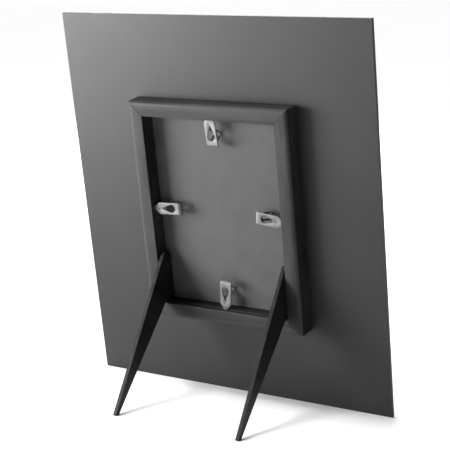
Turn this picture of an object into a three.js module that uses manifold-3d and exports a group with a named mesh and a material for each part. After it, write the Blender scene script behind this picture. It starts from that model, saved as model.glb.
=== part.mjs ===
// Picture frame on two slotted blade legs: a flat front panel with a window, a mitred box
// of rails behind it, four sliding spring clips over the back board, and two pull-out legs.
// Millimetres, +Z up, the picture faces -Y. Left and right are as seen from the front.
import * as THREE from 'three';
import { mergeVertices } from 'three/addons/utils/BufferGeometryUtils.js';
import Module from 'manifold-3d';

const wasm = await Module();
wasm.setup();

// ---------------------------------------------------------------- driving dimensions
// "front" and "rear" are distances behind the panel's rear face.
const LEAN = THREE.MathUtils.degToRad(8);      // the panel leans back by this much

const PANEL = { width: 350, height: 400, thick: 4 };
const OPENING_Y = -0.6;                        // middle of the window and box on the panel
const WINDOW = { width: 141, height: 191 };    // what shows of the picture
const REBATE = { width: 150.8, height: 201.8, deep: 2.1 };
const GLASS = { width: 150.2, height: 201.2, front: -2, rear: -0.25 };
const PRINT = { width: 150, height: 200, front: -0.15, rear: 0.1 };
const BOARD = { width: 150.3, height: 201.3, front: 0.2, rear: 2.35 };

const BOX = { width: 181.4, height: 232.4, front: 0.1, rear: 19.4 };
const RAIL_WIDE = 15.2;
const RAIL_ROUND = { wide: 4.5, deep: 2.5, steps: 6 };   // outer rear edge
const RAIL_EASE = 0.6;                         // inner rear edge
const KERF = { front: 12.9, rear: 14.7, deep: 6.5 };
const MITRE_GAP = 0.06;                        // each side of a corner joint

const NAIL = {
  flange: 5.2, thick: 0.8, spread: 32, inset: 9.4, front: 0.9, rear: 8.9, slack: 0.15,
};

// nose, shoulder and bend are distances from the nose's tip along the clip
const CLIP = {
  wide: 12.4, tipHalf: 0.7, tipBack: 0.4, shoulder: 8, bend: 30, front: 13.3, rear: 14.3,
  lipRadius: 3.5, lipSteps: 7,
};
const KEYHOLE = { y: -22.4, radius: 4.3, tipY: -11.6, tipRadius: 0.7 };
const LEAF = {
  wide: 9.2, thick: 0.5, gap: 0.1, end: -7, bowY: -22, bowHalf: 8.6, bowSteps: 24, low: 2.75,
  slotWide: 5.2, slotLong: 11.6,
};
const WELD = { y: -9, radius: 1.5, deep: 0.3 };

const LEG = { inner: 69.5, outer: 73.5 };      // distance from the centre line
const STUD = {
  behind: 9.6, radius: 2, head: 4, ease: 0.5, headFrom: 1.4, headTo: 0.2, slack: 0.2,
};
const STUD_HEIGHTS = [-60, -91];
const HANGER = {
  inner: 73.62, outer: 75.4, low: -98, high: -53, front: 4.2, rear: 18.6, corner: 2,
};
const SCREW = {
  radius: 1.5, head: 2.9, headDeep: 1.5, long: 10, point: 2.2, behind: 12, sunk: 0.1, slack: 0.12,
  crossLong: 1.9, crossHalf: 0.5, crossDeep: 0.9,
};
const SCREW_HEIGHTS = [-70, -81];

const OVERLAP = 0.5;                           // how far joined shapes run into each other
const PAST = 1;                                // how far a cutter runs past the face it cuts
const ROUND_SEGMENTS = 24;

// nose tip of each clip on the panel's plane, and the turn that points its nose at the rail
const CLIPS = {
  top: { x: -0.4, y: 104.9, turn: -3.5 },
  bottom: { x: 0.9, y: -103.5, turn: 186 },
  right: { x: 77, y: 1.5, turn: -92.5 },
  left: { x: -77, y: -0.5, turn: 96 },
};

// side view of a leg as [height on the panel, distance behind it]
const LEG_OUTLINE = [
  [-46.4, 11.9],
  [-45.8, 12.6],
  [-46.2, 13.2],
  [-180.4, 127.6],
  [-181.4, 127.8],
  [-182.23, 126.4],
  [-182.54, 124.2],
  [-182.3, 123.2],
  [-181.4, 121.7],
  [-100.4, 21.6],
  [-100.2, 21.2],
  [-100.2, 3.4],
  [-50, 3.4],
];
const LEG_ROOT = 3.4;                          // the root's edge nearest the panel

// ---------------------------------------------------------------- materials
const BLACK_BOARD = { color: 0x232324, roughness: 0.45, metalness: 0 };
const BLACK_RAIL = { color: 0x2b2b2c, roughness: 0.6, metalness: 0 };
const GREY_BOARD = { color: 0x3c3d3e, roughness: 0.8, metalness: 0 };
const STEEL = { color: 0xb9bcbe, roughness: 0.35, metalness: 1 };
const BLACK_STEEL = { color: 0x1b1b1c, roughness: 0.4, metalness: 0.6 };
const CLEAR = { color: 0xdfe8ea, roughness: 0.05, metalness: 0, transparent: true, opacity: 0.35 };
const PAPER = { color: 0x9fa9ad, roughness: 0.7, metalness: 0 };

// ---------------------------------------------------------------- geometry helpers
// Local axes: x to the right, y up the panel, z out of the picture, so "behind" is minus z.
function toManifold(geometry) {
  const bare = new THREE.BufferGeometry();
  bare.setAttribute('position', geometry.getAttribute('position').clone());
  if (geometry.index) {
    bare.setIndex(geometry.index.clone());
  }
  const welded = mergeVertices(bare, 1e-5);
  return new wasm.Manifold(new wasm.Mesh({
    numProp: 3,
    vertProperties: new Float32Array(welded.getAttribute('position').array),
    triVerts: new Uint32Array(welded.index.array),
  }));
}

function fromManifold(solid) {
  const mesh = solid.getMesh();
  const geometry = new THREE.BufferGeometry();
  geometry.setAttribute('position', new THREE.BufferAttribute(mesh.vertProperties, 3));
  geometry.setIndex(new THREE.BufferAttribute(mesh.triVerts, 1));
  const flat = geometry.toNonIndexed();
  flat.computeVertexNormals();
  return flat;
}

function join(first, ...others) {
  return fromManifold(others.reduce((sum, g) => sum.add(toManifold(g)), toManifold(first)));
}

function cut(first, ...others) {
  return fromManifold(others.reduce((rest, g) => rest.subtract(toManifold(g)), toManifold(first)));
}

function shapeOf(points) {
  return new THREE.Shape(points.map(([a, b]) => new THREE.Vector2(a, b)));
}

function rectangle(width, height, middleY = 0) {
  const w = width / 2;
  const low = middleY - height / 2;
  const high = middleY + height / 2;
  return [[-w, low], [w, low], [w, high], [-w, high]];
}

// points on a circular arc from one angle to another, both included
function arc(x, y, radius, from, to, steps) {
  return Array.from({ length: steps + 1 }, (_, i) => {
    const angle = from + (i / steps) * (to - from);
    return [x + radius * Math.cos(angle), y + radius * Math.sin(angle)];
  });
}

// a flat sheet parallel to the panel, between two distances behind its rear face
function sheet(shape, front, rear) {
  const geometry = new THREE.ExtrudeGeometry(shape, { depth: rear - front, bevelEnabled: false });
  return geometry.translate(0, 0, -rear);
}

// a flat sheet across the frame, outlined as [height, distance behind], from x0 up to x1
function blade(outline, x0, x1) {
  const shape = shapeOf(outline.map(([height, behind]) => [-behind, height]));
  const geometry = new THREE.ExtrudeGeometry(shape, { depth: x1 - x0, bevelEnabled: false });
  const basis = new THREE.Matrix4().makeBasis(
    new THREE.Vector3(0, 0, 1),
    new THREE.Vector3(0, 1, 0),
    new THREE.Vector3(-1, 0, 0),
  );
  return geometry.applyMatrix4(basis).translate(x1, 0, 0);
}

// a round piece whose axis runs along x, drawn as [radius, x] from end to end
function turned(profile, height, behind) {
  const points = profile.map(([radius, along]) => new THREE.Vector2(radius, along));
  const geometry = new THREE.LatheGeometry(points, ROUND_SEGMENTS);
  return geometry.rotateZ(-Math.PI / 2).translate(0, height, -behind);
}

function mirrored(geometry) {
  const copy = geometry.index ? geometry.toNonIndexed() : geometry.clone();
  const position = copy.getAttribute('position');
  for (let i = 0; i < position.count; i += 3) {
    const first = [position.getX(i), position.getY(i), position.getZ(i)];
    position.setXYZ(i, position.getX(i + 2), position.getY(i + 2), position.getZ(i + 2));
    position.setXYZ(i + 2, ...first);
  }
  copy.scale(-1, 1, 1);
  copy.computeVertexNormals();
  return copy;
}

function piece(name, geometry, finish) {
  const mesh = new THREE.Mesh(geometry, new THREE.MeshStandardMaterial(finish));
  mesh.name = name;
  return mesh;
}

// ---------------------------------------------------------------- panel, glass, print, board
function frontPanel() {
  const plate = sheet(shapeOf(rectangle(PANEL.width, PANEL.height)), -PANEL.thick, 0);
  const window = rectangle(WINDOW.width, WINDOW.height, OPENING_Y);
  const rebate = rectangle(REBATE.width, REBATE.height, OPENING_Y);
  return cut(
    plate,
    sheet(shapeOf(window), -PANEL.thick - PAST, PAST),
    sheet(shapeOf(rebate), -REBATE.deep, PAST),
  );
}

function flatSheet({ width, height, front, rear }) {
  return sheet(shapeOf(rectangle(width, height, OPENING_Y)), front, rear);
}

// ---------------------------------------------------------------- box rails
// section as [distance in from the outer face, distance behind the panel]
function railSection() {
  const { wide, deep, steps } = RAIL_ROUND;
  const rounding = arc(0, 0, 1, Math.PI, Math.PI / 2, steps).map(([a, b]) => [
    wide * (1 + a),
    BOX.rear - deep * (1 - b),
  ]);
  return [
    [0, BOX.front],
    ...rounding,
    [RAIL_WIDE - RAIL_EASE, BOX.rear],
    [RAIL_WIDE, BOX.rear - RAIL_EASE],
    [RAIL_WIDE, KERF.rear],
    [RAIL_WIDE - KERF.deep, KERF.rear],
    [RAIL_WIDE - KERF.deep, KERF.front],
    [RAIL_WIDE, KERF.front],
    [RAIL_WIDE, BOX.front],
  ];
}

// the section swept along y with both ends mitred; the outer face is at x = reach
function mitredRail(reach, length) {
  const section = railSection();
  const count = section.length;
  const ends = [];
  for (const side of [-1, 1]) {
    for (const [inward, behind] of section) {
      ends.push(reach - inward, side * (length / 2 - inward - MITRE_GAP), -behind);
    }
  }
  const index = [];
  for (let i = 0; i < count; i += 1) {
    const next = (i + 1) % count;
    index.push(i, next, count + next, i, count + next, count + i);
  }
  const flat = section.map(([a, b]) => new THREE.Vector2(a, b));
  for (const [a, b, c] of THREE.ShapeUtils.triangulateShape(flat, [])) {
    index.push(a, b, c, count + c, count + b, count + a);
  }
  const geometry = new THREE.BufferGeometry();
  geometry.setAttribute('position', new THREE.Float32BufferAttribute(ends, 3));
  geometry.setIndex(index);
  return outward(geometry);
}

// turns every triangle round when the closed mesh has its faces inward
function outward(geometry) {
  const position = geometry.getAttribute('position');
  const index = geometry.index.array;
  const [a, b, c] = [new THREE.Vector3(), new THREE.Vector3(), new THREE.Vector3()];
  let volume = 0;
  for (let i = 0; i < index.length; i += 3) {
    a.fromBufferAttribute(position, index[i]);
    b.fromBufferAttribute(position, index[i + 1]);
    c.fromBufferAttribute(position, index[i + 2]);
    volume += a.dot(b.cross(c));
  }
  if (volume < 0) {
    for (let i = 0; i < index.length; i += 3) {
      [index[i], index[i + 2]] = [index[i + 2], index[i]];
    }
  }
  return geometry;
}

// a V-shaped joining nail at a corner; its two flanges reach into the two rails
function cornerNail(sideX, sideY, slack) {
  const half = NAIL.thick / 2 + slack;
  const reach = NAIL.flange + slack;
  const spread = THREE.MathUtils.degToRad(NAIL.spread);
  const along = [reach * Math.cos(spread), reach * Math.sin(spread)];
  const across = [-half * Math.sin(spread), half * Math.cos(spread)];
  const tip = half / Math.sin(spread);
  const outer = [along[0] + across[0], along[1] + across[1]];
  const inner = [along[0] - across[0], along[1] - across[1]];
  const outline = [
    [-tip, 0],
    [outer[0], -outer[1]],
    [inner[0], -inner[1]],
    [tip, 0],
    inner,
    outer,
  ];
  const geometry = sheet(shapeOf(outline), NAIL.front - slack, NAIL.rear + slack);
  geometry.rotateZ(Math.atan2(sideY, sideX));
  return geometry.translate(
    sideX * (BOX.width / 2 - NAIL.inset),
    sideY * (BOX.height / 2 - NAIL.inset) + OPENING_Y,
    0,
  );
}

function screwHole(height) {
  const radius = SCREW.radius + SCREW.slack;
  const near = HANGER.inner;
  const far = HANGER.inner + SCREW.long + SCREW.slack + SCREW.sunk;
  return turned([[0, near], [radius, near], [radius, far], [0, far]], height, SCREW.behind);
}

// ---------------------------------------------------------------- clips
function clipOutline() {
  const half = CLIP.wide / 2;
  return [
    [-half, -CLIP.bend],
    [half, -CLIP.bend],
    [half, -CLIP.shoulder],
    [CLIP.tipHalf, -CLIP.tipBack],
    [0, 0],
    [-CLIP.tipHalf, -CLIP.tipBack],
    [-half, -CLIP.shoulder],
  ];
}

// teardrop with its wide end towards the clip's free end
function keyhole() {
  const { y, radius, tipY, tipRadius } = KEYHOLE;
  const lean = Math.asin((radius - tipRadius) / (tipY - y));
  const points = [
    ...arc(0, y, radius, Math.PI - lean, 2 * Math.PI + lean, 16),
    ...arc(0, tipY, tipRadius, lean, Math.PI - lean, 6),
  ];
  const path = new THREE.Path();
  path.setFromPoints(points.map(([a, b]) => new THREE.Vector2(a, b)));
  return path;
}

// the plate's free end curls towards the board by a quarter turn
function clipLip() {
  const { bend, front, rear, lipRadius, lipSteps, wide } = CLIP;
  const behind = rear - lipRadius;
  const outer = arc(-bend, behind, lipRadius, Math.PI / 2, Math.PI, lipSteps);
  const inner = arc(-bend, behind, lipRadius - (rear - front), Math.PI, Math.PI / 2, lipSteps);
  const outline = [...outer, ...inner, [-bend + OVERLAP, front], [-bend + OVERLAP, rear]];
  return blade(outline, -wide / 2, wide / 2);
}

// one pressed sheet: pointed nose, keyhole, curled end and the dimple of a spot weld
function clipPlate() {
  const shape = shapeOf(clipOutline());
  shape.holes.push(keyhole());
  const dimple = new THREE.CylinderGeometry(WELD.radius, WELD.radius, PAST, ROUND_SEGMENTS);
  dimple.rotateX(Math.PI / 2);
  dimple.translate(0, WELD.y, -CLIP.rear + WELD.deep - PAST / 2);
  return cut(join(sheet(shape, CLIP.front, CLIP.rear), clipLip()), dimple);
}

// middle line of the leaf as [y, distance behind]: flat at the weld, then one bow
function leafPath() {
  const half = LEAF.thick / 2;
  const high = CLIP.front - LEAF.gap - half;
  const bow = (high - LEAF.low - half) / 2;
  const bowed = Array.from({ length: LEAF.bowSteps + 1 }, (_, i) => {
    const phase = 1 - (2 * i) / LEAF.bowSteps;
    return [LEAF.bowY + phase * LEAF.bowHalf, high - bow * (1 + Math.cos(Math.PI * phase))];
  });
  return [[LEAF.end, high], ...bowed];
}

// bowed leaf under the plate, slotted where a nail's head passes through the keyhole
function clipLeaf() {
  const half = LEAF.thick / 2;
  const path = leafPath();
  const upper = [];
  const lower = [];
  path.forEach(([y, behind], i) => {
    const before = path[Math.max(i - 1, 0)];
    const after = path[Math.min(i + 1, path.length - 1)];
    const run = new THREE.Vector2(after[0] - before[0], after[1] - before[1]).normalize();
    upper.push([y - run.y * half, behind + run.x * half]);
    lower.push([y + run.y * half, behind - run.x * half]);
  });
  const strip = blade([...upper, ...lower.reverse()], -LEAF.wide / 2, LEAF.wide / 2);
  const radius = LEAF.slotWide / 2;
  const offset = LEAF.slotLong / 2 - radius;
  const slot = shapeOf([
    ...arc(0, LEAF.bowY + offset, radius, 0, Math.PI, 8),
    ...arc(0, LEAF.bowY - offset, radius, Math.PI, 2 * Math.PI, 8),
  ]);
  return cut(strip, sheet(slot, 0, CLIP.front));
}

// ---------------------------------------------------------------- legs and their hangers
function studSlot(height) {
  const radius = STUD.radius + STUD.slack;
  const outline = [
    [height - radius, LEG_ROOT - PAST],
    [height + radius, LEG_ROOT - PAST],
    ...arc(height, STUD.behind, radius, 0, Math.PI, 8),
  ];
  return blade(outline, LEG.inner - PAST, LEG.outer + PAST);
}

function leg() {
  return cut(blade(LEG_OUTLINE, LEG.inner, LEG.outer), ...STUD_HEIGHTS.map(studSlot));
}

function hangerPlate() {
  const { low, high, front, rear, corner, inner, outer } = HANGER;
  return blade([
    [low, front + corner],
    [low + corner, front],
    [high - corner, front],
    [high, front + corner],
    [high, rear - corner],
    [high - corner, rear],
    [low + corner, rear],
    [low, rear - corner],
  ], inner, outer);
}

function stud(height) {
  const { radius, head, ease, headFrom, headTo, behind } = STUD;
  return turned([
    [0, LEG.inner - headFrom],
    [head - ease, LEG.inner - headFrom],
    [head, LEG.inner - headFrom + ease],
    [head, LEG.inner - headTo],
    [radius, LEG.inner - headTo],
    [radius, HANGER.inner + OVERLAP],
    [0, HANGER.inner + OVERLAP],
  ], height, behind);
}

function countersink(height) {
  const wide = SCREW.head + SCREW.slack;
  const narrow = SCREW.radius + SCREW.slack;
  return turned([
    [0, HANGER.inner - PAST],
    [wide, HANGER.inner - PAST],
    [wide, HANGER.inner],
    [narrow, HANGER.inner + SCREW.headDeep],
    [narrow, HANGER.outer + PAST],
    [0, HANGER.outer + PAST],
  ], height, SCREW.behind);
}

// steel plate on the side rail, with two headed studs riveted to it
function hanger() {
  return cut(
    join(hangerPlate(), ...STUD_HEIGHTS.map(stud)),
    ...SCREW_HEIGHTS.map(countersink),
  );
}

function screw(height) {
  const start = HANGER.inner + SCREW.sunk;
  const body = turned([
    [0, start],
    [SCREW.head, start],
    [SCREW.radius, start + SCREW.headDeep],
    [SCREW.radius, start + SCREW.long - SCREW.point],
    [0, start + SCREW.long],
  ], height, SCREW.behind);
  const { crossLong, crossHalf, crossDeep } = SCREW;
  const bars = [[crossLong, crossHalf], [crossHalf, crossLong]].map(([tall, wide]) => blade([
    [height - tall, SCREW.behind - wide],
    [height + tall, SCREW.behind - wide],
    [height + tall, SCREW.behind + wide],
    [height - tall, SCREW.behind + wide],
  ], start - PAST, start + crossDeep));
  return cut(body, ...bars);
}

// ---------------------------------------------------------------- assembly
function pictureStack() {
  return [
    piece('front_panel', frontPanel(), BLACK_BOARD),
    piece('glass_pane', flatSheet(GLASS), CLEAR),
    piece('photo_print', flatSheet(PRINT), PAPER),
    piece('back_board', flatSheet(BOARD), GREY_BOARD),
  ];
}

function rearBox() {
  const corners = [['top_right', 1, 1], ['top_left', -1, 1], ['bottom_right', 1, -1],
    ['bottom_left', -1, -1]];
  const nails = corners.map(([name, x, y]) => (
    piece(`corner_nail_${name}`, cornerNail(x, y, 0), STEEL)
  ));
  const nailSlots = corners.map(([, x, y]) => cornerNail(x, y, NAIL.slack));
  const screwHoles = SCREW_HEIGHTS.map(screwHole);
  const sideRail = mitredRail(BOX.width / 2, BOX.height);
  const endRail = mitredRail(BOX.height / 2, BOX.width);
  const rails = [
    ['rail_right', sideRail, 0, screwHoles],
    ['rail_left', sideRail, Math.PI, screwHoles.map(mirrored)],
    ['rail_top', endRail, Math.PI / 2, []],
    ['rail_bottom', endRail, -Math.PI / 2, []],
  ].map(([name, rail, turn, holes]) => {
    const placed = rail.clone().rotateZ(turn).translate(0, OPENING_Y, 0);
    return piece(name, cut(placed, ...nailSlots, ...holes), BLACK_RAIL);
  });
  return [...nails, ...rails];
}

function clip(side) {
  const { x, y, turn } = CLIPS[side];
  const group = new THREE.Group();
  group.name = `clip_${side}`;
  group.position.set(x, y, 0);
  group.rotation.z = THREE.MathUtils.degToRad(turn);
  group.add(piece(`clip_plate_${side}`, clipPlate(), STEEL));
  group.add(piece(`clip_leaf_${side}`, clipLeaf(), STEEL));
  return group;
}

function legsAndHangers() {
  const rightParts = [
    ['leg', leg(), BLACK_STEEL],
    ['leg_hanger', hanger(), BLACK_STEEL],
    ['hanger_screw_upper', screw(SCREW_HEIGHTS[0]), STEEL],
    ['hanger_screw_lower', screw(SCREW_HEIGHTS[1]), STEEL],
  ];
  return rightParts.flatMap(([name, geometry, finish]) => [
    piece(`${name}_right`, geometry, finish),
    piece(`${name}_left`, mirrored(geometry), finish),
  ]);
}

const leaning = new THREE.Group();
leaning.name = 'leaning_frame';
leaning.rotation.x = Math.PI / 2 - LEAN;
leaning.position.set(0, (PANEL.height / 2) * Math.sin(LEAN), (PANEL.height / 2) * Math.cos(LEAN));
leaning.add(...pictureStack(), ...rearBox(), ...Object.keys(CLIPS).map(clip), ...legsAndHangers());

// origin: centre of the footprint, on the surface the frame stands on
const frame = new THREE.Group();
frame.name = 'picture_frame';
frame.add(leaning);
frame.updateMatrixWorld(true);
const middle = new THREE.Box3().setFromObject(frame, true).getCenter(new THREE.Vector3());
frame.position.set(0, -middle.y, 0);
frame.updateMatrixWorld(true);

export default frame;
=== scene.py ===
"""Photo frame seen from behind: materials, finished pieces, studio floor, lights and camera."""
import math

import bmesh
import bpy
from mathutils import Matrix, Vector


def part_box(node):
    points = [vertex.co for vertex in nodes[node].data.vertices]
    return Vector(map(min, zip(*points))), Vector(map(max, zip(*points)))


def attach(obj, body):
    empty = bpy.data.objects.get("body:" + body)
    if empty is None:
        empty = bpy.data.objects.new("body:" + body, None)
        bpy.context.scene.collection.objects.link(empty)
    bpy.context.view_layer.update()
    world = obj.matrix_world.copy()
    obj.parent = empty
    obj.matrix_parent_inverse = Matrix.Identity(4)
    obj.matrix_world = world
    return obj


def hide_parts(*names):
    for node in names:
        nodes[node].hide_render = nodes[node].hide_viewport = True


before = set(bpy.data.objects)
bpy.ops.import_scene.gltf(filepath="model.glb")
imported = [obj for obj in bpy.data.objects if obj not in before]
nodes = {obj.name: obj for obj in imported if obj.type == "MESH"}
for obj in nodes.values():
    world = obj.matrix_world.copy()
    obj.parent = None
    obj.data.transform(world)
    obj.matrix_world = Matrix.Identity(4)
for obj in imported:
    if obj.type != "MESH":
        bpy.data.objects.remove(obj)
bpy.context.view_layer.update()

# ------------------------------------------------------------------ sizes, millimetres
MM = 0.001
LEAN = math.radians(8)
PANEL_HEIGHT = 400
PANEL_THICK = 4
OPENING_Y = -0.6
BOX_WIDTH, BOX_HEIGHT = 181.4, 232.4
BOX_FRONT, BOX_REAR = 0.1, 19.4
RAIL_WIDE = 15.2
ROUND_WIDE, ROUND_DEEP = 4.5, 2.5
RAIL_EASE = 0.6
KERF_FRONT, KERF_REAR, KERF_DEEP = 12.9, 14.7, 6.5
MITRE_GAP = 0.06
CLIP_WIDE, CLIP_SHOULDER, CLIP_BEND = 12.4, 8, 30
CLIP_FRONT, CLIP_REAR = 13.3, 14.3
LIP_RADIUS = 3
KEYHOLE_Y, KEYHOLE_RADIUS, KEYHOLE_TIP, TIP_RADIUS = -22.4, 4.3, -11.6, 0.7
WELD_Y, WELD_RADIUS, WELD_DEEP = -9, 1.5, 0.3
LEAF_WIDE, LEAF_THICK, LEAF_GAP, LEAF_END = 9.2, 0.5, 0.1, -7
BOW_Y, BOW_HALF, BOW_LOW = -22, 8.6, 2.75
SLOT_WIDE, SLOT_LONG = 5.2, 11.6
CLIPS = {
    "top": (-0.4, 104.9, -3.5),
    "bottom": (0.9, -103.5, 186),
    "right": (77, 1.5, -92.5),
    "left": (-77, -0.5, 96),
}

CLIP_CORNER, CLIP_NOSE = 1.2, 0.95
PLATE_EDGE, LEAF_EDGE, RAIL_EDGE = 0.16, 0.1, 0.25
DIMPLE_OVERLAP, DIMPLE_LIFT = 0.2, 0.1
DIMPLE_SIDES, KEYHOLE_STEPS, TIP_STEPS = 28, 28, 8
LIP_ROWS, BOW_ROWS = 10, 40
CAD_EDGES = {
    "front_panel": 0.4,
    "back_board": 0.2,
    "glass_pane": 0.15,
    "photo_print": 0,
    "leg_left": 0.5,
    "leg_right": 0.5,
    "leg_hanger_left": 0.25,
    "leg_hanger_right": 0.25,
}

# ------------------------------------------------------------------ finishes: darkest and lightest
LACQUER_TONES, LACQUER_ROUGHNESS, LACQUER_SHEEN = (0.006, 0.009), (0.43, 0.49), 0.28
STAIN_TONES, STAIN_ROUGHNESS, STAIN_SHEEN = (0.003, 0.022), (0.38, 0.62), 0.2
BOARD_TONES, BOARD_ROUGHNESS, BOARD_SHEEN = (0.026, 0.041), (0.60, 0.72), 0.3
COAT_TONES, COAT_ROUGHNESS, COAT_SHEEN = (0.003, 0.010), (0.38, 0.54), 0.15
PLATING_METALLIC = 0.55
CLIP_TONE, CLIP_ROUGHNESS = 0.12, 0.42
LEAF_TONE, LEAF_ROUGHNESS = 0.06, 0.45
SCREW_TONE, SCREW_ROUGHNESS = 0.25, 0.35
PLATING_DARK_SHARE = 0.62
GLASS_IOR, GLASS_ROUGHNESS, GLASS_TINT = 1.5, 0.03, (0.93, 0.96, 0.95, 1)
PRINT_LOW, PRINT_HIGH = 0.10, 0.31
PRINT_BANDS = [
    (0.0, (0.10, 0.12, 0.13)),
    (0.24, (0.16, 0.20, 0.21)),
    (0.30, (0.34, 0.40, 0.40)),
    (0.48, (0.48, 0.52, 0.50)),
    (0.56, (0.70, 0.71, 0.66)),
    (1.0, (0.80, 0.82, 0.80)),
]
FLOOR_TONES = (0.79, 0.81)

# ------------------------------------------------------------------ studio, metres and watts
FLOOR_RADIUS, FLOOR_SIDES = 9, 96
AMBIENT = 0.16
SUN_STRENGTH, SUN_ANGLE, SUN_DIRECTION = 3.75, 18, (-0.3, -0.12, -1)
SOFTBOXES = {
    "rear_softbox": {"place": (1.35, 0.95, 0.2), "target": (0.1, 0, 0.22), "side": 1.0, "power": 134},
    "front_fill": {"place": (0.9, -1.7, 1.0), "target": (0, 0, 0.2), "side": 1.2, "power": 36},
}
CAMERA_PLACE, CAMERA_TARGET = (-0.6847, 1.0865, 0.4673), (0.0028, -0.0400, 0.1830)
CAMERA_ROLL, CAMERA_LENS, CAMERA_SENSOR = -0.94, 106.1, 36

# Local axes of the leaning frame: x right, y up the panel, z out of the picture.
panel_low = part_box("front_panel")[0]
PANEL_MIDDLE = Vector((
    0,
    panel_low.y + (PANEL_THICK * math.cos(LEAN) + PANEL_HEIGHT / 2 * math.sin(LEAN)) * MM,
    panel_low.z + PANEL_HEIGHT / 2 * math.cos(LEAN) * MM,
))
TO_WORLD = (
    Matrix.Translation(PANEL_MIDDLE)
    @ Matrix.Rotation(math.pi / 2 - LEAN, 4, "X")
    @ Matrix.Scale(MM, 4)
)


# ------------------------------------------------------------------ node helpers
class Shader:
    """A material's node tree, with short calls for the nodes used here."""

    def __init__(self, name):
        self.material = bpy.data.materials.new(name)
        self.material.use_nodes = True
        self.tree = self.material.node_tree
        self.tree.nodes.clear()
        self.output = self.node("ShaderNodeOutputMaterial")

    def node(self, kind, **settings):
        made = self.tree.nodes.new(kind)
        for key, value in settings.items():
            setattr(made, key, value)
        return made

    def link(self, source, target):
        self.tree.links.new(source, target)

    def principled(self, **values):
        shader = self.node("ShaderNodeBsdfPrincipled")
        for key, value in values.items():
            shader.inputs[key.replace("_", " ")].default_value = value
        self.link(shader.outputs[0], self.output.inputs["Surface"])
        return shader

    def coords(self, scale=(1, 1, 1)):
        """Object coordinates turned so that y runs up the leaning panel, in metres times scale."""
        source = self.node("ShaderNodeTexCoord")
        upright = self.node("ShaderNodeMapping")
        upright.inputs["Rotation"].default_value = (LEAN - math.pi / 2, 0, 0)
        stretch = self.node("ShaderNodeMapping")
        stretch.inputs["Scale"].default_value = scale
        self.link(source.outputs["Object"], upright.inputs[0])
        self.link(upright.outputs[0], stretch.inputs[0])
        return stretch.outputs[0]

    def noise(self, coords, scale, detail=4, rough=0.55, distortion=0):
        made = self.node("ShaderNodeTexNoise")
        made.inputs["Scale"].default_value = scale
        made.inputs["Detail"].default_value = detail
        made.inputs["Roughness"].default_value = rough
        made.inputs["Distortion"].default_value = distortion
        self.link(coords, made.inputs["Vector"])
        return made.outputs["Fac"]

    def spread(self, value, low, high, start=0.3, stop=0.7):
        """Maps a noise value onto low..high."""
        made = self.node("ShaderNodeMapRange")
        made.inputs["From Min"].default_value = start
        made.inputs["From Max"].default_value = stop
        made.inputs["To Min"].default_value = low
        made.inputs["To Max"].default_value = high
        self.link(value, made.inputs["Value"])
        return made.outputs["Result"]

    def ramp(self, value, stops):
        made = self.node("ShaderNodeValToRGB")
        while len(made.color_ramp.elements) < len(stops):
            made.color_ramp.elements.new(0.5)
        for element, (place, colour) in zip(made.color_ramp.elements, stops):
            element.position = place
            element.color = (*colour, 1)
        self.link(value, made.inputs["Fac"])
        return made.outputs["Color"]

    def add(self, first, second, weight=1.0):
        made = self.node("ShaderNodeMath", operation="MULTIPLY_ADD")
        self.link(second, made.inputs[0])
        made.inputs[1].default_value = weight
        self.link(first, made.inputs[2])
        return made.outputs[0]

    def bump(self, shader, height, strength, distance):
        made = self.node("ShaderNodeBump")
        made.inputs["Strength"].default_value = strength
        made.inputs["Distance"].default_value = distance
        self.link(height, made.inputs["Height"])
        self.link(made.outputs[0], shader.inputs["Normal"])


def grey(value, tint=0.0):
    return (value * (1 - tint), value, value * (1 + tint))


def tones(low_place, high_place, values, tint=0.0):
    """Ramp stops from the darkest to the lightest tone of a finish."""
    return [(low_place, grey(values[0], tint)), (high_place, grey(values[1], tint))]


# ------------------------------------------------------------------ materials
def lacquer():
    """Satin black sprayed lacquer: faint orange peel, slow cloudiness, a few specks of dust."""
    s = Shader("satin_black_lacquer")
    shader = s.principled(Specular_IOR_Level=LACQUER_SHEEN)
    place = s.coords()
    cloud = s.noise(place, 9, detail=3)
    fine = s.noise(place, 900, detail=2)
    dust = s.noise(place, 2600, detail=1)
    s.link(s.ramp(cloud, tones(0.3, 0.7, LACQUER_TONES, 0.03)), shader.inputs["Base Color"])
    rough = s.add(s.spread(cloud, *LACQUER_ROUGHNESS), s.spread(dust, 0, 0.1, 0.62, 0.75))
    s.link(rough, shader.inputs["Roughness"])
    s.bump(shader, fine, 0.12, 0.0002)
    return s.material


def stained_rail(name, scale):
    """Black stain over fine straight grain; scale stretches the grain along the rail."""
    s = Shader(name)
    shader = s.principled(Specular_IOR_Level=STAIN_SHEEN)
    place = s.coords(scale)
    grain = s.noise(place, 90, detail=6, rough=0.62, distortion=0.3)
    pores = s.noise(place, 420, detail=3, rough=0.6)
    patch = s.noise(s.coords(), 30, detail=3)
    tone = s.add(grain, patch, 0.35)
    s.link(s.ramp(tone, tones(0.45, 0.85, STAIN_TONES)), shader.inputs["Base Color"])
    s.link(s.spread(grain, *STAIN_ROUGHNESS), shader.inputs["Roughness"])
    s.bump(shader, s.add(grain, pores, 0.6), 0.5, 0.0004)
    return s.material


def backing_board():
    """Matt dark grey faced hardboard with a soft mottle and short fibres."""
    s = Shader("grey_faced_board")
    shader = s.principled(Specular_IOR_Level=BOARD_SHEEN)
    place = s.coords()
    mottle = s.noise(place, 45, detail=5)
    fibre = s.noise(s.coords((1, 3, 1)), 700, detail=3)
    tone = s.add(mottle, fibre, 0.4)
    s.link(s.ramp(tone, tones(0.45, 0.9, BOARD_TONES)), shader.inputs["Base Color"])
    s.link(s.spread(mottle, *BOARD_ROUGHNESS), shader.inputs["Roughness"])
    s.bump(shader, fibre, 0.25, 0.0002)
    return s.material


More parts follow.
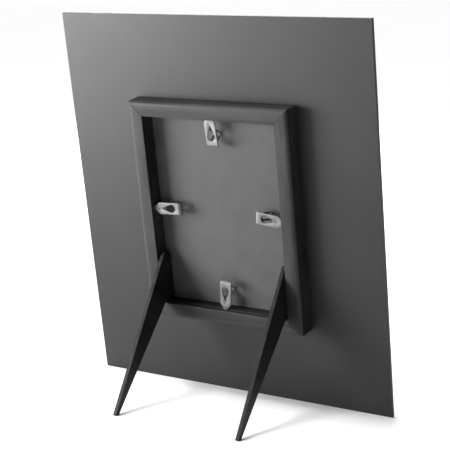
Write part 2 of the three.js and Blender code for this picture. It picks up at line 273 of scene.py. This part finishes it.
def plated_steel(name, light, roughness):
    """Zinc-plated pressed sheet: rolling lines, faint blotches and handling scratches."""
    s = Shader(name)
    shader = s.principled(Metallic=PLATING_METALLIC)
    lines = s.noise(s.coords((1, 14, 1)), 260, detail=3)
    blotch = s.noise(s.coords(), 160, detail=4)
    scratch = s.noise(s.coords((9, 1, 1)), 700, detail=2)
    tone = s.add(blotch, lines, 0.5)
    sheet_tones = tones(0.5, 0.95, (light * PLATING_DARK_SHARE, light), 0.01)
    s.link(s.ramp(tone, sheet_tones), shader.inputs["Base Color"])
    rough = s.add(s.spread(blotch, roughness, roughness + 0.12), s.spread(scratch, 0, 0.12, 0.6, 0.8))
    s.link(rough, shader.inputs["Roughness"])
    s.bump(shader, lines, 0.12, 0.0001)
    return s.material


def powder_coat():
    """Satin black powder coat over steel, with its fine pebbled skin."""
    s = Shader("black_powder_coat")
    shader = s.principled(Specular_IOR_Level=COAT_SHEEN)
    place = s.coords()
    pebble = s.noise(place, 800, detail=3)
    cloud = s.noise(place, 120, detail=4)
    s.link(s.ramp(cloud, tones(0.3, 0.7, COAT_TONES)), shader.inputs["Base Color"])
    s.link(s.spread(cloud, *COAT_ROUGHNESS), shader.inputs["Roughness"])
    s.bump(shader, pebble, 0.45, 0.0003)
    return s.material


def clear_glass():
    """Picture glass: clear, with its outer faces reflecting more towards grazing angles."""
    s = Shader("picture_glass")
    fresnel = s.node("ShaderNodeFresnel")
    fresnel.inputs["IOR"].default_value = GLASS_IOR
    gloss = s.node("ShaderNodeBsdfGlossy")
    gloss.inputs["Roughness"].default_value = GLASS_ROUGHNESS
    through = s.node("ShaderNodeBsdfTransparent")
    through.inputs["Color"].default_value = GLASS_TINT
    ripple = s.noise(s.coords(), 14, detail=2)
    bump = s.node("ShaderNodeBump")
    bump.inputs["Strength"].default_value = 0.02
    bump.inputs["Distance"].default_value = 0.0005
    s.link(ripple, bump.inputs["Height"])
    s.link(bump.outputs[0], gloss.inputs["Normal"])
    mix = s.node("ShaderNodeMixShader")
    outer = s.node("ShaderNodeMath", operation="SUBTRACT")
    outer.inputs[0].default_value = 1
    s.link(s.node("ShaderNodeNewGeometry").outputs["Backfacing"], outer.inputs[1])
    reflected = s.node("ShaderNodeMath", operation="MULTIPLY")
    s.link(fresnel.outputs[0], reflected.inputs[0])
    s.link(outer.outputs[0], reflected.inputs[1])
    s.link(reflected.outputs[0], mix.inputs[0])
    s.link(through.outputs[0], mix.inputs[1])
    s.link(gloss.outputs[0], mix.inputs[2])
    s.link(mix.outputs[0], s.output.inputs["Surface"])
    return s.material


def tonal_print():
    """Photo paper with plain soft tonal bands and a white border."""
    s = Shader("tonal_print")
    shader = s.principled(Roughness=0.4)
    place = s.coords()
    split = s.node("ShaderNodeSeparateXYZ")
    s.link(place, split.inputs[0])
    wave = s.add(split.outputs["Y"], s.noise(s.coords((1, 2.5, 1)), 11, detail=4), 0.045)
    height = s.spread(wave, 0, 1, PRINT_LOW, PRINT_HIGH)
    s.link(s.ramp(height, PRINT_BANDS), shader.inputs["Base Color"])
    s.bump(shader, s.noise(place, 1200, detail=2), 0.05, 0.0001)
    return s.material


LACQUER = lacquer()
RAIL_ACROSS = stained_rail("black_stain_across", (0.12, 1, 1))
RAIL_UPRIGHT = stained_rail("black_stain_upright", (1, 0.12, 1))
BOARD = backing_board()
CLIP_STEEL = plated_steel("zinc_plated_clip", CLIP_TONE, CLIP_ROUGHNESS)
LEAF_STEEL = plated_steel("spring_steel_leaf", LEAF_TONE, LEAF_ROUGHNESS)
SCREW_STEEL = plated_steel("zinc_plated_screw", SCREW_TONE, SCREW_ROUGHNESS)
COAT = powder_coat()
GLASS = clear_glass()
PRINT = tonal_print()


# ------------------------------------------------------------------ mesh helpers
def wear(obj, material):
    obj.data.materials.clear()
    obj.data.materials.append(material)


def soften(obj, width, segments=2, angle=35):
    """Rounds a piece's sharp edges by width millimetres."""
    weld = obj.modifiers.new("weld", "WELD")
    weld.merge_threshold = 0.00001
    bevel = obj.modifiers.new("eased_edges", "BEVEL")
    bevel.width = width * MM
    bevel.segments = segments
    bevel.limit_method = "ANGLE"
    bevel.angle_limit = math.radians(angle)
    bevel.harden_normals = True


def new_piece(name, mesh, matrix, material, body, nodes):
    """A finished piece from a mesh in local millimetres, which stands for the CAD nodes."""
    mesh.transform(TO_WORLD @ matrix)
    mesh.update()
    obj = bpy.data.objects.new(name, mesh)
    bpy.context.scene.collection.objects.link(obj)
    wear(obj, material)
    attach(obj, body)
    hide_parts(*nodes)
    return obj


def mesh_from(bm, name):
    bmesh.ops.recalc_face_normals(bm, faces=bm.faces)
    mesh = bpy.data.meshes.new(name)
    bm.to_mesh(mesh)
    bm.free()
    mesh.shade_smooth()
    return mesh


def plate_bmesh(outlines, front, rear, bevel):
    """A flat plate with rounded edges; the first outline is its edge and the rest are holes."""
    curve = bpy.data.curves.new("outline", "CURVE")
    curve.dimensions = "2D"
    curve.fill_mode = "BOTH"
    for outline in outlines:
        spline = curve.splines.new("POLY")
        spline.points.add(len(outline) - 1)
        for point, (a, b) in zip(spline.points, outline):
            point.co = (a, b, 0, 1)
        spline.use_cyclic_u = True
    curve.extrude = (rear - front) / 2 - bevel
    curve.bevel_depth = bevel
    curve.bevel_resolution = 2
    curve.offset = -bevel
    holder = bpy.data.objects.new("outline", curve)
    mesh = bpy.data.meshes.new_from_object(holder)
    bm = bmesh.new()
    bm.from_mesh(mesh)
    bmesh.ops.remove_doubles(bm, verts=bm.verts, dist=0.001)
    bmesh.ops.translate(bm, verts=bm.verts, vec=(0, 0, -(front + rear) / 2))
    bpy.data.objects.remove(holder)
    bpy.data.curves.remove(curve)
    bpy.data.meshes.remove(mesh)
    return bm


def arc(centre, radius, start, stop, steps):
    points = []
    for i in range(steps + 1):
        angle = start + (stop - start) * i / steps
        points.append((centre[0] + radius * math.cos(angle), centre[1] + radius * math.sin(angle)))
    return points


# ------------------------------------------------------------------ rails
def rail_section():
    """[distance in from the outer face, distance behind the panel], once round."""
    section = [(0, BOX_FRONT)]
    for across, out in arc((0, 0), 1, math.pi, math.pi / 2, 14):
        section.append((ROUND_WIDE * (1 + across), BOX_REAR - ROUND_DEEP * (1 - out)))
    section += arc((RAIL_WIDE - RAIL_EASE, BOX_REAR - RAIL_EASE), RAIL_EASE, math.pi / 2, 0, 4)
    section += [
        (RAIL_WIDE, KERF_REAR),
        (RAIL_WIDE - KERF_DEEP, KERF_REAR),
        (RAIL_WIDE - KERF_DEEP, KERF_FRONT),
        (RAIL_WIDE, KERF_FRONT),
        (RAIL_WIDE, BOX_FRONT),
    ]
    return section


def rail(name, reach, length, turn, material):
    section = rail_section()
    bm = bmesh.new()
    rings = []
    for side in (-1, 1):
        ring = []
        for inward, behind in section:
            ring.append(bm.verts.new((
                reach - inward,
                side * (length / 2 - inward - MITRE_GAP),
                -behind,
            )))
        rings.append(ring)
    for i in range(len(section)):
        k = (i + 1) % len(section)
        bm.faces.new((rings[0][i], rings[0][k], rings[1][k], rings[1][i]))
    bm.faces.new(rings[0])
    bm.faces.new(list(reversed(rings[1])))
    matrix = Matrix.Translation((0, OPENING_Y, 0)) @ Matrix.Rotation(turn, 4, "Z")
    obj = new_piece(f"shaped_{name}", mesh_from(bm, name), matrix, material, "frame", [name])
    soften(obj, RAIL_EDGE)
    return obj


rail("rail_right", BOX_WIDTH / 2, BOX_HEIGHT, 0, RAIL_UPRIGHT)
rail("rail_left", BOX_WIDTH / 2, BOX_HEIGHT, math.pi, RAIL_UPRIGHT)
rail("rail_top", BOX_HEIGHT / 2, BOX_WIDTH, math.pi / 2, RAIL_ACROSS)
rail("rail_bottom", BOX_HEIGHT / 2, BOX_WIDTH, -math.pi / 2, RAIL_ACROSS)


# ------------------------------------------------------------------ clips
def clip_outline():
    half = CLIP_WIDE / 2
    foot = -CLIP_BEND - LIP_RADIUS * math.pi / 2
    outline = arc((half - CLIP_CORNER, foot + CLIP_CORNER), CLIP_CORNER, -math.pi / 2, 0, 4)
    outline += [(half, -CLIP_SHOULDER)]
    outline += arc((0, -CLIP_NOSE), CLIP_NOSE, math.radians(50), math.radians(130), 6)
    outline += [(-half, -CLIP_SHOULDER)]
    outline += arc((-half + CLIP_CORNER, foot + CLIP_CORNER), CLIP_CORNER, math.pi, 3 * math.pi / 2, 4)
    return outline


def keyhole_outline():
    lean = math.asin((KEYHOLE_RADIUS - TIP_RADIUS) / (KEYHOLE_TIP - KEYHOLE_Y))
    wide = arc((0, KEYHOLE_Y), KEYHOLE_RADIUS, math.pi - lean, 2 * math.pi + lean, KEYHOLE_STEPS)
    narrow = arc((0, KEYHOLE_TIP), TIP_RADIUS, lean, math.pi - lean, TIP_STEPS)
    return wide + narrow


def clip_matrix(side):
    x, y, turn = CLIPS[side]
    return Matrix.Translation((x, y, 0)) @ Matrix.Rotation(math.radians(turn), 4, "Z")


def slice_across(bm, start, stop, rows):
    """Cuts a flat plate into rows between two heights, so that it can be bent there."""
    for i in range(rows + 1):
        bmesh.ops.bisect_plane(
            bm,
            geom=bm.verts[:] + bm.edges[:] + bm.faces[:],
            plane_co=(0, start + (stop - start) * i / rows, 0),
            plane_no=(0, 1, 0),
        )


def weld_dimple(bm):
    """The floor of the pressed dimple, set into its hole in the plate."""
    floor_at = CLIP_REAR - WELD_DEEP
    bmesh.ops.create_cone(
        bm,
        cap_ends=True,
        segments=DIMPLE_SIDES,
        radius1=WELD_RADIUS + DIMPLE_OVERLAP,
        radius2=WELD_RADIUS + DIMPLE_OVERLAP,
        depth=floor_at - CLIP_FRONT - DIMPLE_LIFT,
        matrix=Matrix.Translation((0, WELD_Y, -(floor_at + CLIP_FRONT + DIMPLE_LIFT) / 2)),
    )


def clip_plate(side):
    last_turn = 2 * math.pi * (DIMPLE_SIDES - 1) / DIMPLE_SIDES
    dimple = arc((0, WELD_Y), WELD_RADIUS, 0, last_turn, DIMPLE_SIDES - 1)
    bm = plate_bmesh([clip_outline(), keyhole_outline(), dimple], CLIP_FRONT, CLIP_REAR, PLATE_EDGE)
    length = LIP_RADIUS * math.pi / 2
    slice_across(bm, -CLIP_BEND, -CLIP_BEND - length, LIP_ROWS)
    middle = (CLIP_FRONT + CLIP_REAR) / 2
    for vert in bm.verts:
        run = -CLIP_BEND - vert.co.y
        if run > 0:
            angle = run / LIP_RADIUS
            out = LIP_RADIUS + (-vert.co.z - middle)
            vert.co.y = -CLIP_BEND - out * math.sin(angle)
            vert.co.z = -(middle - LIP_RADIUS + out * math.cos(angle))
    weld_dimple(bm)
    mesh = mesh_from(bm, f"clip_plate_{side}")
    mesh.set_sharp_from_angle(angle=math.radians(32))
    new_piece(f"pressed_clip_{side}", mesh, clip_matrix(side), CLIP_STEEL, f"clip_{side}",
              [f"clip_plate_{side}"])


def clip_leaf(side):
    """A slotted strip, flat at the weld and bowed down to the back board."""
    half = LEAF_THICK / 2
    high = CLIP_FRONT - LEAF_GAP - half
    bow = (high - BOW_LOW - half) / 2
    edge = LEAF_WIDE / 2
    radius = SLOT_WIDE / 2
    offset = SLOT_LONG / 2 - radius
    strip = [(edge, LEAF_END), (-edge, LEAF_END), (-edge, BOW_Y - BOW_HALF), (edge, BOW_Y - BOW_HALF)]
    slot = arc((0, BOW_Y + offset), radius, 0, math.pi, 12)
    slot += arc((0, BOW_Y - offset), radius, math.pi, 2 * math.pi, 12)
    bm = plate_bmesh([strip, slot], -half, half, LEAF_EDGE)
    slice_across(bm, BOW_Y + BOW_HALF, BOW_Y - BOW_HALF, BOW_ROWS)
    for vert in bm.verts:
        phase = min((vert.co.y - BOW_Y) / BOW_HALF, 1)
        turn = math.pi * phase
        slope = math.atan(bow * math.pi / BOW_HALF * math.sin(turn))
        out = -vert.co.z
        vert.co.y -= out * math.sin(slope)
        vert.co.z = -(high - bow * (1 + math.cos(turn)) + out * math.cos(slope))
    mesh = mesh_from(bm, f"clip_leaf_{side}")
    mesh.set_sharp_from_angle(angle=math.radians(40))
    new_piece(f"bowed_leaf_{side}", mesh, clip_matrix(side), LEAF_STEEL, f"clip_{side}",
              [f"clip_leaf_{side}"])


for clip_side in CLIPS:
    clip_plate(clip_side)
    clip_leaf(clip_side)


# ------------------------------------------------------------------ CAD nodes kept as they are
CAD_FINISHES = {
    "front_panel": LACQUER,
    "back_board": BOARD,
    "glass_pane": GLASS,
    "photo_print": PRINT,
    "leg_left": COAT,
    "leg_right": COAT,
    "leg_hanger_left": COAT,
    "leg_hanger_right": COAT,
}
for node, material in CAD_FINISHES.items():
    wear(nodes[node], material)
    if CAD_EDGES[node]:
        soften(nodes[node], CAD_EDGES[node])
for node, obj in nodes.items():
    if node.startswith(("corner_nail", "hanger_screw")):
        wear(obj, SCREW_STEEL)


# ------------------------------------------------------------------ floor, lights and camera
def floor():
    s = Shader("pale_studio_floor")
    shader = s.principled(Roughness=0.7, Specular_IOR_Level=0.2)
    tone = s.noise(s.coords(), 3, detail=3)
    s.link(s.ramp(tone, tones(0.3, 0.7, FLOOR_TONES)), shader.inputs["Base Color"])
    bm = bmesh.new()
    bmesh.ops.create_circle(bm, cap_ends=True, radius=FLOOR_RADIUS, segments=FLOOR_SIDES)
    mesh = mesh_from(bm, "studio_floor")
    obj = bpy.data.objects.new("studio_floor", mesh)
    bpy.context.scene.collection.objects.link(obj)
    wear(obj, s.material)


def studio_world():
    """White behind the object, and a dimmer even light from all round."""
    world = bpy.data.worlds.new("studio")
    world.use_nodes = True
    tree = world.node_tree
    background = tree.nodes["Background"]
    path = tree.nodes.new("ShaderNodeLightPath")
    strength = tree.nodes.new("ShaderNodeMapRange")
    strength.inputs["To Min"].default_value = AMBIENT
    strength.inputs["To Max"].default_value = 1
    background.inputs["Color"].default_value = (1, 1, 1, 1)
    tree.links.new(path.outputs["Is Camera Ray"], strength.inputs["Value"])
    tree.links.new(strength.outputs["Result"], background.inputs["Strength"])
    return world


def aim_along(direction):
    return Vector(direction).to_track_quat("-Z", "Y")


def sun():
    """An even overhead light, which leaves soft shadows beside the feet."""
    data = bpy.data.lights.new("overhead", "SUN")
    data.energy = SUN_STRENGTH
    data.angle = math.radians(SUN_ANGLE)
    obj = bpy.data.objects.new("overhead", data)
    obj.rotation_euler = aim_along(SUN_DIRECTION).to_euler()
    bpy.context.scene.collection.objects.link(obj)


def softbox(name, place, target, side, power):
    data = bpy.data.lights.new(name, "AREA")
    data.size = side
    data.energy = power
    obj = bpy.data.objects.new(name, data)
    obj.location = place
    obj.rotation_euler = aim_along(Vector(target) - Vector(place)).to_euler()
    obj.visible_camera = False
    bpy.context.scene.collection.objects.link(obj)


def camera():
    data = bpy.data.cameras.new("camera")
    data.lens = CAMERA_LENS
    data.sensor_width = CAMERA_SENSOR
    obj = bpy.data.objects.new("camera", data)
    aim = aim_along(Vector(CAMERA_TARGET) - Vector(CAMERA_PLACE)).to_matrix().to_4x4()
    roll = Matrix.Rotation(math.radians(CAMERA_ROLL), 4, "Z")
    obj.matrix_world = Matrix.Translation(CAMERA_PLACE) @ aim @ roll
    bpy.context.scene.collection.objects.link(obj)
    bpy.context.scene.camera = obj


floor()
bpy.context.scene.world = studio_world()
bpy.context.scene.view_settings.view_transform = "Standard"
sun()
for softbox_name, settings in SOFTBOXES.items():
    softbox(softbox_name, **settings)
camera()
